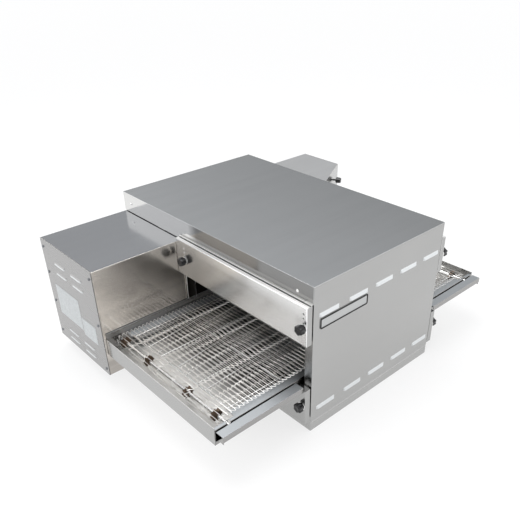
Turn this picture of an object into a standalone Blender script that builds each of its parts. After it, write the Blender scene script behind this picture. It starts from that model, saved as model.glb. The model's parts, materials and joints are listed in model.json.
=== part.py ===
"""Countertop conveyor oven for pizzas, as an assembly of its separate pieces.

Units are metres, +Z is up, and the belt runs along X. The inlet end is at -X, the front
panel faces -Y, and the two machinery boxes stand out of the cabinet's ends near its back.
The origin is under the middle of the cabinet, on the surface that the oven stands on.
"""

import math

import bmesh
import bpy
from mathutils import Matrix, Vector

# Sheet metal
SHEET = 0.0015
THIN_SHEET = 0.0012
FIT = 0.0003

# Cabinet
HALF_LENGTH = 0.261
HALF_DEPTH = 0.421
HEIGHT = 0.450
SKIRT_TOP = 0.031
SKIRT_RETURN = 0.010
PANEL_BOTTOM = SKIRT_TOP + FIT
PANEL_TOP = HEIGHT - SHEET - FIT
COVER_FLANGE_BOTTOM = 0.406
COVER_FLANGE_LOW = 0.3895
FRONT_RETURN = 0.026
BACK_RETURN = 0.012
LOUVRE_PROUD = 0.0045
LOUVRE_TAPER = 0.006
PANEL_LOUVRE = (0.036, 0.014)
BOX_LOUVRE = (0.0305, 0.010)

# Baking tunnel
TUNNEL_FRONT = -0.393
TUNNEL_BACK = 0.1125
TUNNEL_SILL = 0.1135
TUNNEL_HEAD = 0.290
LEDGE_TOP = 0.4035
LEDGE_OUT = 0.011

# End panels, given for the inlet end
PANEL_OUT = 0.283
PANEL_IN = 0.2645
PANEL_FRONT = -0.420
DOOR_BOTTOM = 0.288
DOOR_TOP = 0.400
DOOR_FLANGE = 0.0115
LOWER_PANEL_BOTTOM = 0.038
LOWER_PANEL_TOP = 0.149
LOWER_PANEL_SILL = 0.1130
LOWER_TAB_BACK = -0.3875

# Thumb knobs
STUD_RADIUS = 0.003
KNOB_RADIUS = 0.0128
KNOB_LOBES = 6
WASHER_RADIUS = 0.0118
UPPER_KNOB_HEIGHT = 0.341
LOWER_KNOB_HEIGHT = 0.097
KNOB_FRONT = -0.409
KNOB_BACK = 0.074
SPARE_HOLES = 3
HOLE_PITCH = 0.013
SPARE_HOLE_RADIUS = 0.0028
DOOR_TRAVEL = 0.040

# Chamber
LINER_HALF_LENGTH = 0.2555
LINER_BOTTOM = 0.040
LINER_TOP = 0.398
LINER_FRONT = -0.392
LINER_BACK = 0.1128
INSULATION_FRONT = -0.4188
INSULATION_BACK = 0.146
INSULATION_BOTTOM = 0.0320
INSULATION_TOP = 0.440
DUCT_HALF_LENGTH = 0.225
NECK_HALF_LENGTH = 0.138
NOZZLE_ROWS = 8
NOZZLE_WIDTH = 0.010

# Conveyor
RAIL_HALF_LENGTH = 0.545
RAIL_BOTTOM = 0.114
RAIL_TOP = 0.1615
FRONT_RAIL = -0.383
BACK_RAIL = 0.112
BACK_RAIL_TOP = 0.187
SHELF_FRONT = -0.414
SHELF_TOP = 0.1595
SHELF_BOTTOM = 0.143
SHELF_GAP = 0.0035
CHANNEL_BOTTOM = 0.128
SHAFT_OUT = 0.503
SHAFT_HEIGHT = 0.153
SHAFT_RADIUS = 0.005
BORE_RADIUS = 0.0053
BELT_OUTER = 0.019
BELT_INNER = 0.0175
BELT_FRONT = -0.3715
BELT_BACK = 0.107
SPROCKET_PLACES = (-0.334, -0.217, -0.034, 0.085)
SPROCKET_TEETH = 8
SPROCKET_RADIUS = 0.0156
SPROCKET_ROOT = 0.0118
SPROCKET_HALF_WIDTH = 0.005
RACK_END = 0.476
RACK_MIDDLE = 0.150
RACK_ROD_RADIUS = 0.0019
RACK_HEIGHT = 0.1665
CROSS_ROD_HEIGHT = 0.1637
RACK_RODS = (-0.347, -0.220, -0.058, 0.073)
SLANTED_RODS = (
    (0.002, 0.11),
    (-0.038, 0.13),
    (-0.129, 0.11),
    (-0.172, 0.12),
    (-0.255, 0.06),
    (-0.303, 0.17),
)
TRAY_END = 0.547
TRAY_INNER_END = 0.250
TRAY_LIP = 0.128
TRAY_INNER_LIP = 0.132
TRAY_NOTCH = 0.454
TRAY_NOTCH_BACK = 0.078
TRAY_END_TOP = 0.168

# Machinery boxes
BOX_END = 0.556
BOX_SEAM = 0.0010
BOX_FRONT = 0.114
BOX_BACK = 0.418
BOX_BOTTOM = 0.045
BOX_TOP = 0.387
BOX_ROOT = HALF_LENGTH + 0.0004
PANEL_BEND = 0.328
PANEL_CORNER = 0.2411
CONTROL_PLACE = 0.197
SPEED_DIAL_HEIGHT = 0.347
TEMPERATURE_DIAL_HEIGHT = 0.272
ROCKER_HEIGHT = 0.200
FAN_PLACE = (-0.400, 0.310)
GLAND_PLACE = (-0.300, 0.085)

# Drive
CHAIN_PLANE = 0.134
CHAIN_WIDTH = 0.005
CHAIN_THICKNESS = 0.005
DRIVEN_RADIUS = 0.024
PINION_RADIUS = 0.018
MOTOR_OUT = 0.405
MOTOR_HEIGHT = 0.215

# Blower
BLOWER_HEIGHT = 0.240
HOUSING_BACK = 0.232
WHEEL_RADIUS = 0.100
BLADES = 12


def clear_scene():
    for obj in list(bpy.data.objects):
        bpy.data.objects.remove(obj, do_unlink=True)


def make_material(name, colour, roughness, metallic):
    material = bpy.data.materials.new(name)
    material.use_nodes = True
    shader = material.node_tree.nodes["Principled BSDF"]
    shader.inputs["Base Color"].default_value = (*colour, 1.0)
    shader.inputs["Roughness"].default_value = roughness
    shader.inputs["Metallic"].default_value = metallic
    material.diffuse_color = (*colour, 1.0)
    return material


def add_object(name, mesh, look, pivot=(0.0, 0.0, 0.0), smooth=False):
    """Adds a mesh given in world coordinates, with its origin moved to the pivot."""
    mesh.transform(Matrix.Translation(-Vector(pivot)))
    if smooth:
        mesh.shade_smooth()
        mesh.set_sharp_from_angle(angle=math.radians(35))
    obj = bpy.data.objects.new(name, mesh)
    obj.location = pivot
    bpy.context.scene.collection.objects.link(obj)
    colour, roughness, metallic = look
    obj.data.materials.append(make_material(name, colour, roughness, metallic))
    return obj


def mesh_from(bm):
    bm.normal_update()
    bmesh.ops.recalc_face_normals(bm, faces=bm.faces)
    mesh = bpy.data.meshes.new("piece")
    bm.to_mesh(mesh)
    bm.free()
    return mesh


def mirrored(box, side):
    """The box as it is at the inlet end, or mirrored in X for the outlet end."""
    (x0, y0, z0), (x1, y1, z1) = box
    if side > 0:
        x0, x1 = -x1, -x0
    return (x0, y0, z0), (x1, y1, z1)


def block_mesh(boxes, holes=(), side=-1):
    """One closed body: the union of axis-aligned boxes, less the holes."""
    boxes = [mirrored(box, side) for box in boxes]
    holes = [mirrored(box, side) for box in holes]
    breaks = []
    for axis in range(3):
        low = min(box[0][axis] for box in boxes)
        high = max(box[1][axis] for box in boxes)
        edges = {corner[axis] for box in boxes + holes for corner in box}
        breaks.append(sorted(edge for edge in edges if low <= edge <= high))

    def filled(cell):
        middle = []
        for axis in range(3):
            if not 0 <= cell[axis] < len(breaks[axis]) - 1:
                return False
            middle.append((breaks[axis][cell[axis]] + breaks[axis][cell[axis] + 1]) / 2)

        def inside(box):
            return all(box[0][a] < middle[a] < box[1][a] for a in range(3))

        return any(map(inside, boxes)) and not any(map(inside, holes))

    bm = bmesh.new()
    corners = {}

    def corner(index):
        if index not in corners:
            corners[index] = bm.verts.new([breaks[a][index[a]] for a in range(3)])
        return corners[index]

    counts = [len(edges) - 1 for edges in breaks]
    for i in range(counts[0]):
        for j in range(counts[1]):
            for k in range(counts[2]):
                if filled((i, j, k)):
                    add_cell_faces(bm, corner, filled, (i, j, k))
    bmesh.ops.dissolve_limit(
        bm, angle_limit=math.radians(1), verts=bm.verts, edges=bm.edges
    )
    return mesh_from(bm)


def add_cell_faces(bm, corner, filled, cell):
    """Adds the faces of a filled cell that look at an empty one."""
    for axis in range(3):
        u, v = (axis + 1) % 3, (axis + 2) % 3
        for step in (-1, 1):
            beyond = list(cell)
            beyond[axis] += step
            if filled(tuple(beyond)):
                continue
            ring = []
            for du, dv in ((0, 0), (1, 0), (1, 1), (0, 1)):
                index = list(cell)
                index[axis] += step > 0
                index[u] += du
                index[v] += dv
                ring.append(corner(tuple(index)))
            bm.faces.new(ring if step > 0 else ring[::-1])


def prism_mesh(outline, axis, low, high):
    """A closed outline extruded along an axis. Its points are in the other two axes' order."""
    bm = bmesh.new()
    ends = []
    for level in (low, high):
        ring = []
        for a, b in outline:
            place = {0: (level, a, b), 1: (a, level, b), 2: (a, b, level)}[axis]
            ring.append(bm.verts.new(place))
        ends.append(ring)
    count = len(outline)
    for i in range(count):
        j = (i + 1) % count
        bm.faces.new((ends[0][i], ends[0][j], ends[1][j], ends[1][i]))
    bm.faces.new(ends[0])
    bm.faces.new(ends[1][::-1])
    return mesh_from(bm)


def ring_mesh(outer, inner, axis, low, high):
    """A band or wheel: the space between two outlines with as many points as each other."""
    bm = bmesh.new()
    loops = []
    for outline in (outer, inner):
        for level in (low, high):
            ring = []
            for a, b in outline:
                place = {0: (level, a, b), 1: (a, level, b), 2: (a, b, level)}[axis]
                ring.append(bm.verts.new(place))
            loops.append(ring)
    out_low, out_high, in_low, in_high = loops
    count = len(outer)
    for i in range(count):
        j = (i + 1) % count
        for a, b in ((out_low, out_high), (out_high, in_high), (in_high, in_low), (in_low, out_low)):
            bm.faces.new((a[i], a[j], b[j], b[i]))
    return mesh_from(bm)


def turned_mesh(profile, segments, centre, direction, lobes=0, depth=0.0):
    """A solid turned about a line. The profile is (distance along the line, radius, lobed).

    A first or last radius of 0 makes a point; lobed rings swell and shrink round the line.
    """
    bm = bmesh.new()
    turn = Vector((0, 0, 1)).rotation_difference(Vector(direction)).to_matrix()
    rings = []
    for along, radius, lobed in profile:
        if radius == 0:
            rings.append([bm.verts.new(turn @ Vector((0, 0, along)) + Vector(centre))])
            continue
        ring = []
        for step in range(segments):
            angle = 2 * math.pi * step / segments
            reach = radius * (1 + depth * math.cos(lobes * angle)) if lobed else radius
            point = Vector((reach * math.cos(angle), reach * math.sin(angle), along))
            ring.append(bm.verts.new(turn @ point + Vector(centre)))
        rings.append(ring)
    for low, high in zip(rings, rings[1:]):
        for step in range(segments):
            after = (step + 1) % segments
            if len(low) == 1:
                bm.faces.new((low[0], high[step], high[after]))
            elif len(high) == 1:
                bm.faces.new((low[step], low[after], high[0]))
            else:
                bm.faces.new((low[step], low[after], high[after], high[step]))
    return mesh_from(bm)


def rod_mesh(start, direction, length, radius, segments=12):
    profile = ((0, 0, False), (0, radius, False), (length, radius, False), (length, 0, False))
    return turned_mesh(profile, segments, start, direction)


def circle(radius, centre, count, phase=0.0):
    points = []
    for step in range(count):
        angle = 2 * math.pi * (step + phase) / count
        points.append((centre[0] + radius * math.cos(angle), centre[1] + radius * math.sin(angle)))
    return points


def hull_mesh(points):
    bm = bmesh.new()
    for point in points:
        bm.verts.new(point)
    bmesh.ops.convex_hull(bm, input=bm.verts)
    return mesh_from(bm)


def gathered(meshes):
    """Several closed meshes in one."""
    bm = bmesh.new()
    for mesh in meshes:
        bm.from_mesh(mesh)
        bpy.data.meshes.remove(mesh)
    mesh = bpy.data.meshes.new("gathered")
    bm.to_mesh(mesh)
    bm.free()
    return mesh


def helper_object(name, meshes):
    """A hidden object for a Boolean."""
    obj = bpy.data.objects.new(name, gathered(meshes))
    obj.hide_render = True
    obj.display_type = "WIRE"
    bpy.context.scene.collection.objects.link(obj)
    return obj


def combine(obj, meshes, operation):
    """Cuts meshes out of an object or joins them to it, with a Boolean modifier."""
    name = f"{obj.name}_{operation.lower()}"
    modifier = obj.modifiers.new(operation.title(), "BOOLEAN")
    modifier.operation = operation
    modifier.solver = "EXACT"
    modifier.object = helper_object(name, meshes)
    return obj


STEEL = ((0.62, 0.63, 0.63), 0.32, 1.0)
COVER_STEEL = ((0.52, 0.54, 0.55), 0.35, 1.0)
DARK_STEEL = ((0.30, 0.29, 0.27), 0.5, 1.0)
GALVANISED = ((0.50, 0.52, 0.53), 0.45, 1.0)
BRIGHT_STEEL = ((0.75, 0.75, 0.74), 0.2, 1.0)
WIRE_STEEL = ((0.70, 0.70, 0.69), 0.25, 1.0)
BLACK_PLASTIC = ((0.02, 0.02, 0.022), 0.4, 0.0)
WOOL = ((0.75, 0.70, 0.58), 0.95, 0.0)
CAST_METAL = ((0.35, 0.36, 0.38), 0.5, 0.8)
HEATER_STEEL = ((0.22, 0.19, 0.17), 0.55, 1.0)
PLATE_GREY = ((0.45, 0.46, 0.46), 0.4, 0.6)


def louvre(centre, size, out, face):
    """A pressed louvre on a face that looks along out: its hood, and the opening below it."""
    (centre_u, centre_z), (half_width, tall) = centre, size
    low, high = centre_z - tall / 2, centre_z + tall / 2
    sign = out[0] + out[1]

    def wedge(narrow, drop, root, proud):
        points = []
        for side in (-1, 1):
            wide = centre_u + side * (half_width - narrow)
            ridge = centre_u + side * (half_width - narrow - LOUVRE_TAPER)
            places = ((wide, low, root), (wide, high, root), (ridge, low, proud))
            for u, z, reach in places:
                v = face + sign * reach
                points.append((v, u, z - drop) if out[0] else (u, v, z - drop))
        return hull_mesh(points)

    hood = wedge(0, 0, -SHEET / 2, LOUVRE_PROUD)
    opening = wedge(0.0012, 0.002, -SHEET - 0.001, LOUVRE_PROUD - 0.0010)
    return hood, opening


def add_louvres(panel, places, size, out, face):
    pairs = [louvre(place, size, out, face) for place in places]
    combine(panel, [hood for hood, _ in pairs], "UNION")
    combine(panel, [opening for _, opening in pairs], "DIFFERENCE")


def build_base():
    length, depth = HALF_LENGTH, HALF_DEPTH
    boxes = (
        ((-length, -depth, 0), (length, depth, SHEET)),
        ((-length, -depth, 0), (length, -depth + SHEET, SKIRT_TOP)),
        ((-length, depth - SHEET, 0), (length, depth, SKIRT_TOP)),
        ((-length, -depth, 0), (-length + SHEET, depth, SKIRT_TOP)),
        ((length - SHEET, -depth, 0), (length, depth, SKIRT_TOP)),
        ((-length, -depth, SKIRT_TOP - SHEET), (length, depth, SKIRT_TOP)),
    )
    inside = length - SKIRT_RETURN, depth - SKIRT_RETURN
    rim = (
        (-inside[0], -inside[1], SKIRT_TOP - SHEET - 0.001),
        (inside[0], inside[1], SKIRT_TOP + 0.001),
    )
    add_object("base_pan", block_mesh(boxes, [rim]), STEEL)


def stud_gaps(y, z, reach, low, high):
    """A hole for a stud through a sheet between two distances from the middle."""
    return (-high, y - reach, z - reach), (-low, y + reach, z + reach)


def end_openings(low, high):
    """Slots and holes through an end for the studs of the thumb knobs, at the inlet end."""
    reach = STUD_RADIUS + 0.001
    gaps = []
    for y in (KNOB_FRONT, KNOB_BACK):
        gaps.append(
            (
                (-high, y - reach, UPPER_KNOB_HEIGHT - DOOR_TRAVEL - reach),
                (-low, y + reach, UPPER_KNOB_HEIGHT + reach),
            )
        )
        gaps.append(stud_gaps(y, LOWER_KNOB_HEIGHT, reach, low, high))
    return gaps


def build_front_and_back():
    length, depth = HALF_LENGTH, HALF_DEPTH
    front = [((-length, -depth, PANEL_BOTTOM), (length, -depth + SHEET, PANEL_TOP))]
    back = [((-length, depth - SHEET, PANEL_BOTTOM), (length, depth, PANEL_TOP))]
    gaps = []
    for side in (-1, 1):
        front.append(
            mirrored(
                (
                    (-length, -depth, PANEL_BOTTOM),
                    (-length + SHEET, -depth + FRONT_RETURN, PANEL_TOP),
                ),
                side,
            )
        )
        back.append(
            mirrored(
                (
                    (-length, depth - BACK_RETURN, PANEL_BOTTOM),
                    (-length + SHEET, depth, PANEL_TOP),
                ),
                side,
            )
        )
        front.append(
            mirrored(
                (
                    (-length + SHEET - LEDGE_OUT, -depth, LEDGE_TOP - SHEET),
                    (-length + SHEET, -depth + FRONT_RETURN, LEDGE_TOP),
                ),
                side,
            )
        )
        for gap in end_openings(length - 0.003, length + 0.001):
            gaps.append(mirrored(gap, side))
    panel = add_object("front_panel", block_mesh(front, gaps), STEEL)
    places = [(x, z) for x in (-0.206, -0.097, 0.006, 0.110, 0.213) for z in (0.3655, 0.0745)]
    add_louvres(panel, places, PANEL_LOUVRE, (0, -1), -depth)
    panel = add_object("back_panel", block_mesh(back), STEEL)
    places = [(x, z) for x in (-0.105, 0.0, 0.105) for z in (0.120, 0.155, 0.330, 0.365)]
    add_louvres(panel, places, PANEL_LOUVRE, (0, 1), depth)


def build_cover():
    inner, outer = HALF_LENGTH + FIT, HALF_LENGTH + FIT + SHEET
    depth = HALF_DEPTH
    boxes = (
        ((-outer, -depth, HEIGHT - SHEET), (outer, depth, HEIGHT)),
        ((-outer, -depth, COVER_FLANGE_BOTTOM), (-inner, depth, HEIGHT)),
        ((inner, -depth, COVER_FLANGE_BOTTOM), (outer, depth, HEIGHT)),
        ((-outer, TUNNEL_BACK + 0.001, COVER_FLANGE_LOW), (-inner, depth, HEIGHT)),
        ((inner, TUNNEL_BACK + 0.001, COVER_FLANGE_LOW), (outer, depth, HEIGHT)),
    )
    add_object("top_cover", block_mesh(boxes), COVER_STEEL)
    plate = prism_mesh(
        rounded_outline(0.089, 0.0155, 0.005, (-0.149, 0.3365)),
        1,
        -depth - FIT - 0.001,
        -depth - FIT,
    )
    add_object("name_plate", plate, PLATE_GREY)


def rounded_outline(half_width, half_height, radius, centre):
    points = []
    for quarter in range(4):
        across = half_width - radius if quarter in (0, 3) else radius - half_width
        up = half_height - radius if quarter in (0, 1) else radius - half_height
        for step in range(4):
            angle = math.pi / 2 * (quarter + step / 3)
            x = centre[0] + across + radius * math.cos(angle)
            points.append((x, centre[1] + up + radius * math.sin(angle)))
    return points


def build_end(side, name):
    """The frame, the adjustable upper door and the fixed lower panel of one end."""
    outer = HALF_LENGTH - SHEET - FIT
    inner = outer - SHEET
    frame = (
        ((-outer, -0.419, PANEL_BOTTOM + FIT), (-inner, 0.419, PANEL_TOP)),
        (
            (-outer - LEDGE_OUT, TUNNEL_FRONT - 0.001, LEDGE_TOP - SHEET),
            (-inner, TUNNEL_BACK, LEDGE_TOP),
        ),
    )
    gaps = [
        ((-0.3, TUNNEL_FRONT, TUNNEL_SILL), (-0.2, TUNNEL_BACK, TUNNEL_HEAD)),
        ((-0.3, 0.155, 0.085), (-0.2, 0.370, 0.350)),
        *end_openings(0.2, 0.3),
    ]
    add_object(f"{name}_end_frame", block_mesh(frame, gaps, side), STEEL)

    out, face = PANEL_OUT, PANEL_OUT - SHEET
    front, back = PANEL_FRONT, TUNNEL_BACK
    low, high = DOOR_BOTTOM, DOOR_TOP
    door = (
        ((-out, front, low), (-face, back, high)),
        ((-out, front, high - SHEET), (-out + DOOR_FLANGE, back, high)),
        ((-out, front, low), (-out + DOOR_FLANGE, back, low + SHEET)),
        ((-out, front, low), (-PANEL_IN, front + SHEET, high)),
        ((-out, back - SHEET, low), (-PANEL_IN, back, high)),
    )
    mesh = block_mesh(door, side=side)
    panel = add_object(f"{name}_upper_door", mesh, STEEL, pivot=(side * out, 0, low))
    holes = []
    for y in (KNOB_FRONT, KNOB_BACK):
        holes.append(stud_hole(side, y, UPPER_KNOB_HEIGHT, STUD_RADIUS + 0.0005))
        for step in range(SPARE_HOLES):
            height = UPPER_KNOB_HEIGHT + HOLE_PITCH * (step + 1)
            holes.append(stud_hole(side, y, height, SPARE_HOLE_RADIUS))
    combine(panel, holes, "DIFFERENCE")

    low, high, sill = LOWER_PANEL_BOTTOM, LOWER_PANEL_TOP, LOWER_PANEL_SILL
    tab = LOWER_TAB_BACK
    lower = (
        ((-out, front, low), (-face, back, sill)),
        ((-out, front, low), (-face, tab, high)),
        ((-out, front, high - SHEET), (-PANEL_IN, tab, high)),
        ((-out, tab - SHEET, sill - SHEET), (-out + DOOR_FLANGE, back, sill)),
        ((-out, front, low), (-out + DOOR_FLANGE, back, low + SHEET)),
        ((-out, front, low), (-PANEL_IN, front + SHEET, high)),
        ((-out, back - SHEET, low), (-PANEL_IN, back, sill)),
    )
    panel = add_object(f"{name}_lower_panel", block_mesh(lower, side=side), STEEL)
    holes = []
    for y in (KNOB_FRONT, KNOB_BACK):
        holes.append(stud_hole(side, y, LOWER_KNOB_HEIGHT, STUD_RADIUS + 0.0005))
    combine(panel, holes, "DIFFERENCE")


def stud_hole(side, y, z, radius):
    start = (side * (PANEL_OUT - 0.004), y, z)
    return rod_mesh(start, (side, 0, 0), 0.008, radius)


def build_thumb_knobs(side, name):
    """Four black lobed knobs, each with its own threaded stud and washer."""
    seat = PANEL_OUT + 0.0006
    start = 0.2555
    profile = [
        (start, 0, False),
        (start, STUD_RADIUS, False),
        (seat, STUD_RADIUS, False),
        (seat, WASHER_RADIUS, False),
        (seat + 0.0018, WASHER_RADIUS, False),
        (seat + 0.0018, 0.0075, False),
        (seat + 0.0040, 0.0075, False),
        (seat + 0.0045, KNOB_RADIUS, True),
        (seat + 0.0180, KNOB_RADIUS, True),
        (seat + 0.0200, KNOB_RADIUS - 0.002, True),
        (seat + 0.0200, 0, False),
    ]
    for level, height in (("upper", UPPER_KNOB_HEIGHT), ("lower", LOWER_KNOB_HEIGHT)):
        for place, y in (("front", KNOB_FRONT), ("back", KNOB_BACK)):
            axis_point = (0, y, height)
            mesh = turned_mesh(profile, 24, axis_point, (side, 0, 0), KNOB_LOBES, 0.10)
            pivot = (side * seat, y, height)
            add_object(f"{name}_{level}_knob_{place}", mesh, BLACK_PLASTIC, pivot, True)


def tube_boxes(half_length, front, back, low, high, wall):
    """Outer box and inner space of a tube along X, open at both ends."""
    outer = ((-half_length, front - wall, low - wall), (half_length, back + wall, high + wall))
    inner = ((-half_length - 0.01, front, low), (half_length + 0.01, back, high))
    return outer, inner


def build_chamber():
    neck = NECK_HALF_LENGTH + 0.001
    openings = [
        ((-neck, 0.05, 0.316), (neck, 0.20, 0.384)),
        ((-neck, 0.05, 0.049), (neck, 0.20, 0.099)),
        ((-0.100, 0.05, 0.190), (0.100, 0.20, 0.280)),
        ((0.1815, 0.05, 0.2895), (0.1885, 0.20, 0.2965)),
    ]
    outer, inner = tube_boxes(
        LINER_HALF_LENGTH, LINER_FRONT, LINER_BACK, LINER_BOTTOM, LINER_TOP, THIN_SHEET
    )
    liner = block_mesh([outer], [inner, *openings])
    add_object("chamber_liner", liner, DARK_STEEL)
    jacket = (
        (-LINER_HALF_LENGTH, INSULATION_FRONT, INSULATION_BOTTOM),
        (LINER_HALF_LENGTH, INSULATION_BACK, INSULATION_TOP),
    )
    (x0, y0, z0), (x1, y1, z1) = outer
    hollow = ((x0 - 0.01, y0 - FIT, z0 - FIT), (x1 + 0.01, y1 + FIT, z1 + FIT))
    add_object("chamber_insulation", block_mesh([jacket], [hollow, *openings]), WOOL)


def build_jet_duct(name, low, high, neck_low, neck_high, nozzle_face):
    """A flat duct that blows at the belt through slots, fed through a neck at the back."""
    wall, half, neck = THIN_SHEET, DUCT_HALF_LENGTH, NECK_HALF_LENGTH
    front, back = -0.370, 0.100
    boxes = (
        ((-half, front, low), (half, back, high)),
        ((-neck, back - wall, neck_low), (neck, INSULATION_BACK, neck_high)),
    )
    holes = [
        (
            (-half + wall, front + wall, low + wall),
            (half - wall, back - wall, high - wall),
        ),
        (
            (-neck + wall, back - 2 * wall, neck_low + wall),
            (neck - wall, INSULATION_BACK + 0.01, neck_high - wall),
        ),
    ]
    pitch = 2 * half / NOZZLE_ROWS
    for row in range(NOZZLE_ROWS):
        middle = -half + pitch * (row + 0.5)
        holes.append(
            (
                (middle - NOZZLE_WIDTH / 2, front + 0.03, nozzle_face - 0.002),
                (middle + NOZZLE_WIDTH / 2, back - 0.03, nozzle_face + 0.002),
            )
        )
    add_object(name, block_mesh(boxes, holes), GALVANISED)


def build_blower():
    wall = SHEET
    half, low, high = 0.170, 0.045, 0.395
    front, back = INSULATION_BACK + 0.001, HOUSING_BACK
    boxes = (((-half, front, low), (half, back, high)),)
    holes = [
        ((-half + wall, front - 0.01, low + wall), (half - wall, back - wall, high - wall)),
        (
            (-0.015, back - 0.01, BLOWER_HEIGHT - 0.015),
            (0.015, back + 0.01, BLOWER_HEIGHT + 0.015),
        ),
    ]
    leg_height = BLOWER_HEIGHT - 0.123
    for x in (-0.025, 0.025):
        holes.append(
            (
                (x - 0.006, back - 0.01, leg_height - 0.006),
                (x + 0.006, back + 0.01, leg_height + 0.006),
            )
        )
    add_object("blower_housing", block_mesh(boxes, holes), GALVANISED)

    hub_front, plate, plate_back = 0.190, 0.212, 0.214
    centre = (0, 0, BLOWER_HEIGHT)
    bore, hub = 0.0063, 0.014
    outline = (
        (hub_front, bore),
        (hub_front, hub),
        (plate, hub),
        (plate, WHEEL_RADIUS),
        (plate_back, WHEEL_RADIUS),
        (plate_back, bore),
    )
    wheel = closed_turning(outline, 24, centre)
    wheel = add_object("blower_wheel", wheel, GALVANISED, (0, plate, BLOWER_HEIGHT), True)
    blades = []
    for number in range(BLADES):
        angle = 2 * math.pi * (number + 0.5) / BLADES
        blade = block_mesh((((0.058, 0.160, -0.0008), (0.096, 0.2125, 0.0008)),))
        spin = Matrix.Rotation(-angle, 4, "Y")
        twist = Matrix.Translation((0.077, 0, 0)) @ Matrix.Rotation(0.6, 4, "Y")
        back_to_middle = Matrix.Translation((-0.077, 0, 0))
        blade.transform(Matrix.Translation(centre) @ spin @ twist @ back_to_middle)
        blades.append(blade)
    rim = ((0.158, 0.062), (0.158, 0.097), (0.1605, 0.097), (0.1605, 0.062))
    combine(wheel, blades, "UNION")
    combine(wheel, [closed_turning(rim, 24, centre)], "UNION")

    base = HOUSING_BACK + 0.0005
    profile = [
        (0.192, 0, False),
        (0.192, 0.006, False),
        (base, 0.006, False),
        (base, 0.070, False),
        (base + 0.004, 0.070, False),
        (base + 0.004, 0.055, False),
        (base + 0.095, 0.055, False),
        (base + 0.105, 0.045, False),
        (base + 0.105, 0, False),
    ]
    motor = turned_mesh(profile, 24, centre, (0, 1, 0))
    add_object("blower_motor", motor, CAST_METAL, smooth=True)
    build_heating_element(leg_height)
    probe = [
        (-0.020, 0, False),
        (-0.020, 0.0022, False),
        (0.1475, 0.0022, False),
        (0.1475, 0.008, False),
        (0.166, 0.008, False),
        (0.166, 0, False),
    ]
    mesh = turned_mesh(probe, 12, (0.185, 0, 0.293), (0, 1, 0))
    add_object("temperature_probe", mesh, BRIGHT_STEEL, smooth=True)


def closed_turning(outline, segments, centre):
    """A ring about Y whose section is a closed outline of (place along Y, radius)."""
    bm = bmesh.new()
    rings = []
    for along, radius in outline:
        points = circle(radius, (centre[0], centre[2]), segments)
        rings.append([bm.verts.new((x, along, z)) for x, z in points])
    for low, high in zip(rings, rings[1:] + rings[:1]):
        for step in range(segments):
            after = (step + 1) % segments
            bm.faces.new((low[step], low[after], high[after], high[step]))
    return mesh_from(bm)


def build_heating_element(leg_height):
    """A tube bent into a ring round the blower wheel, with both ends out at the back."""
    radius, plane, leg_end, out = 0.1255, 0.188, HOUSING_BACK + 0.012, 0.025
    gap = math.asin(out / radius)
    points = [(-out, leg_end, leg_height), (-out, plane + 0.010, leg_height)]
    steps = 36
    for step in range(steps + 1):
        angle = -math.pi / 2 - gap - (2 * math.pi - 2 * gap) * step / steps
        x = radius * math.cos(angle)
        points.append((x, plane, BLOWER_HEIGHT + radius * math.sin(angle)))
    points += [(out, plane + 0.010, leg_height), (out, leg_end, leg_height)]
    curve = bpy.data.curves.new("heating_element", "CURVE")
    curve.dimensions = "3D"
    curve.bevel_depth = 0.004
    curve.bevel_resolution = 1
    curve.use_fill_caps = True
    spline = curve.splines.new("POLY")
    spline.points.add(len(points) - 1)
    for point, place in zip(spline.points, points):
        point.co = (*place, 1.0)
    obj = bpy.data.objects.new("heating_element", curve)
    bpy.context.scene.collection.objects.link(obj)
    curve.materials.append(make_material("heating_element", *HEATER_STEEL))


def shaft_notches(y0, y1, top):
    boxes = []
    for x in (-SHAFT_OUT, SHAFT_OUT):
        boxes.append(((x - 0.006, y0, SHAFT_HEIGHT - 0.006), (x + 0.006, y1, top)))
    return boxes


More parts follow.
